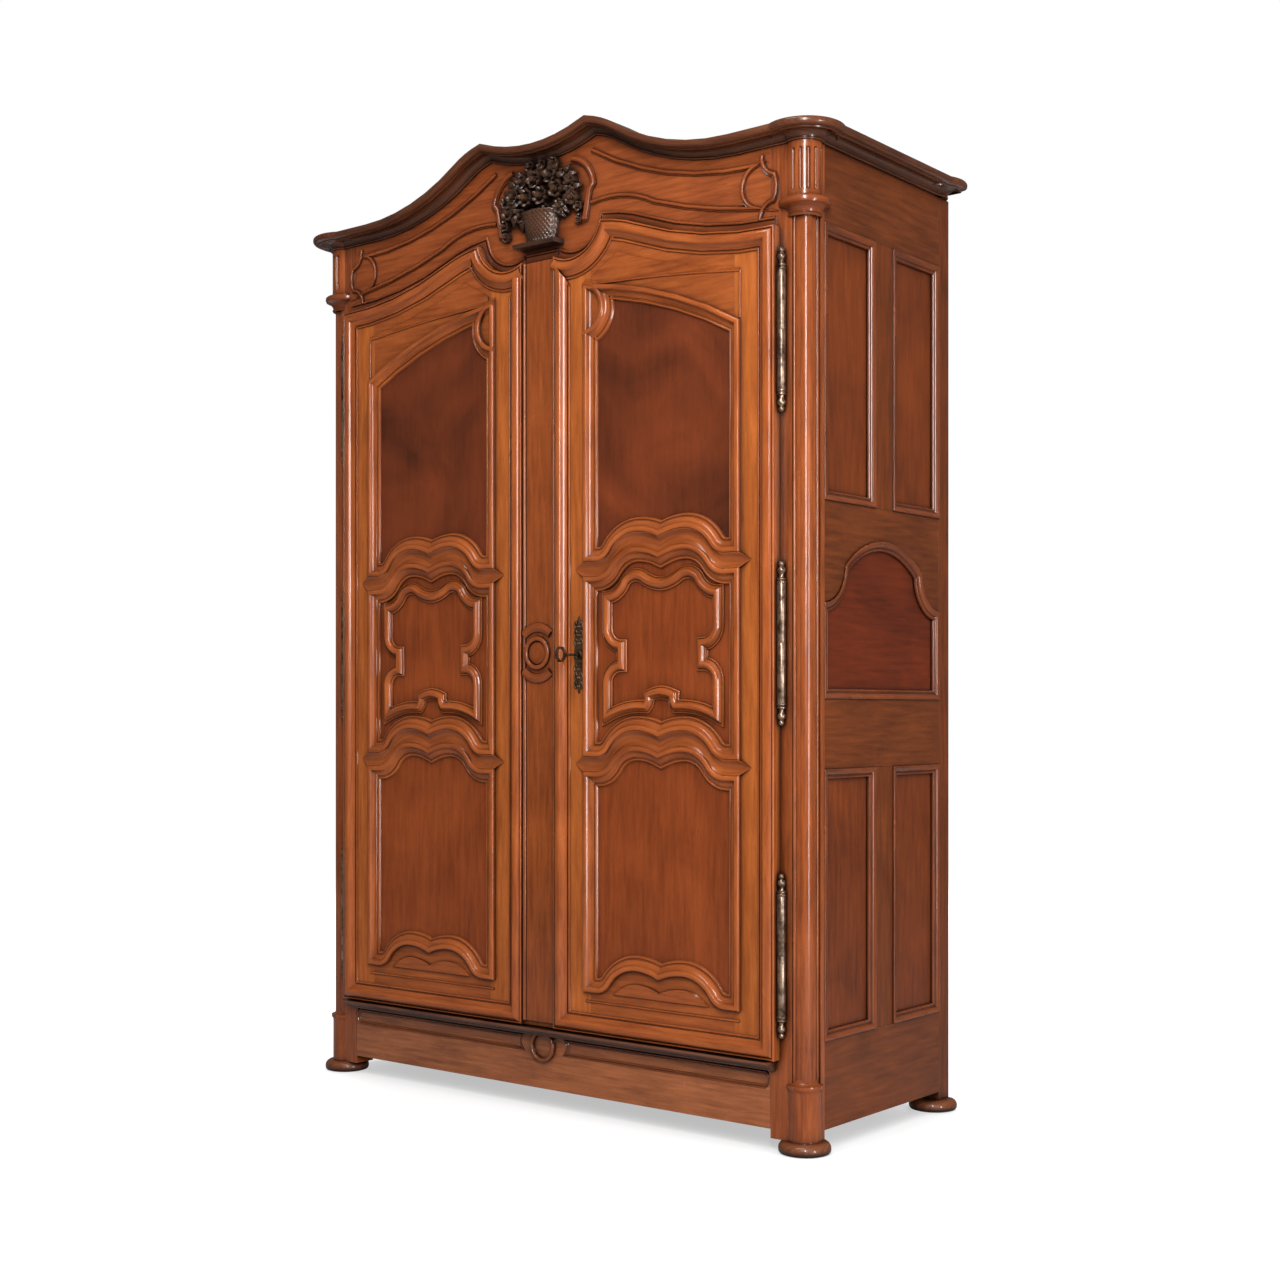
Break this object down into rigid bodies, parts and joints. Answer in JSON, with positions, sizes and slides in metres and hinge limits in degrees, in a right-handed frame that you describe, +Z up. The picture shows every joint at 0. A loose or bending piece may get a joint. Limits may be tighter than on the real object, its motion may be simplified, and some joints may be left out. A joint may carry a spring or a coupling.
{
  "type": "armoire",
  "caption": "Tall free-standing walnut armoire with arched cornice, carved frieze, fielded panelled doors on steel pin hinges, lock with key, slide bolts and shelves.",
  "frame": {"origin": "on the floor under the middle of the part's box, between the four foot pads", "axes": "+X to the right as seen from the front, +Y to the back, +Z up"},
  "size_m": [1.824, 0.787, 2.6048],
  "materials": {
    "walnut": "waxed and polished",
    "walnut_panel": "polished burr",
    "walnut_moulding": "waxed and polished",
    "walnut_dark": "dark wax",
    "inside_oak": "planed, unpolished",
    "steel": "polished, aged",
    "iron": "blackened"
  },
  "bodies": {
    "carcass": {"front_post_left": "walnut", "front_post_right": "walnut", "rear_posts": "walnut", "column_capitals": "walnut", "base_rail": "walnut", "frieze_board": "walnut", "left_side_rails": "walnut", "right_side_rails": "walnut", "side_muntins": "walnut", "cornice_front": "walnut_dark", "cornice_left": "walnut_dark", "cornice_right": "walnut_dark", "cornice_corners": "walnut_dark", "foot_pads": "walnut_dark", "cartouche_moulding": "walnut_dark", "flower_basket": "walnut_dark", "frieze_edge_band": "walnut_moulding", "frieze_mouldings": "walnut_moulding", "base_rail_mouldings": "walnut_moulding", "side_panel_mouldings": "walnut_moulding", "left_side_panels": "walnut", "right_side_panels": "walnut", "back_frame": "inside_oak", "back_panels": "inside_oak", "floor_boards": "inside_oak", "ceiling_boards": "inside_oak", "shelves": "inside_oak", "shelf_battens": "inside_oak", "hinge_post_halves": "steel"},
    "left_door": {"left_door_hinge_stile": "walnut", "left_door_meeting_stile": "walnut", "left_door_top_rail": "walnut", "left_door_cross_rails": "walnut", "left_door_bottom_rail": "walnut", "left_door_panels": "walnut_panel", "left_door_frame_moulding": "walnut_moulding", "left_door_panel_mouldings": "walnut_moulding", "left_door_hinge_halves": "steel", "meeting_strip": "walnut", "lock_keeper": "iron", "left_bolt_plates": "iron"},
    "right_door": {"right_door_hinge_stile": "walnut", "right_door_meeting_stile": "walnut", "right_door_top_rail": "walnut", "right_door_cross_rails": "walnut", "right_door_bottom_rail": "walnut", "right_door_panels": "walnut_panel", "right_door_frame_moulding": "walnut_moulding", "right_door_panel_mouldings": "walnut_moulding", "right_door_hinge_halves": "steel", "escutcheon": "steel", "lock_case": "iron"},
    "key": {"key": "steel"},
    "lock_bolt": {"lock_bolt": "iron"},
    "left_top_bolt": {"left_top_bolt": "iron"},
    "left_bottom_bolt": {"left_bottom_bolt": "iron"}
  },
  "joints": [
    {"name": "left_door_hinge", "type": "hinge", "parent": "carcass", "child": "left_door", "pos_m": [-0.7745, -0.2955, 1.2], "axis": [0, 0, -1], "range_deg": [0, 120]},
    {"name": "right_door_hinge", "type": "hinge", "parent": "carcass", "child": "right_door", "pos_m": [0.7745, -0.2955, 1.2], "axis": [0, 0, 1], "range_deg": [0, 120]},
    {"name": "key_turn", "type": "hinge", "parent": "right_door", "child": "key", "pos_m": [0.14, -0.2845, 1.209], "axis": [0, 1, 0], "range_deg": [0, 180]},
    {"name": "lock_bolt_slide", "type": "slide", "parent": "right_door", "child": "lock_bolt", "axis": [-1, 0, 0], "range_m": [0, 0.018]},
    {"name": "top_bolt_slide", "type": "slide", "parent": "left_door", "child": "left_top_bolt", "axis": [0, 0, 1], "range_m": [0, 0.02]},
    {"name": "bottom_bolt_slide", "type": "slide", "parent": "left_door", "child": "left_bottom_bolt", "axis": [0, 0, -1], "range_m": [0, 0.02]}
  ],
  "couplings": [
    {"joint": "key_turn", "follows": "lock_bolt_slide", "rad_per_m": 174.53}
  ]
}
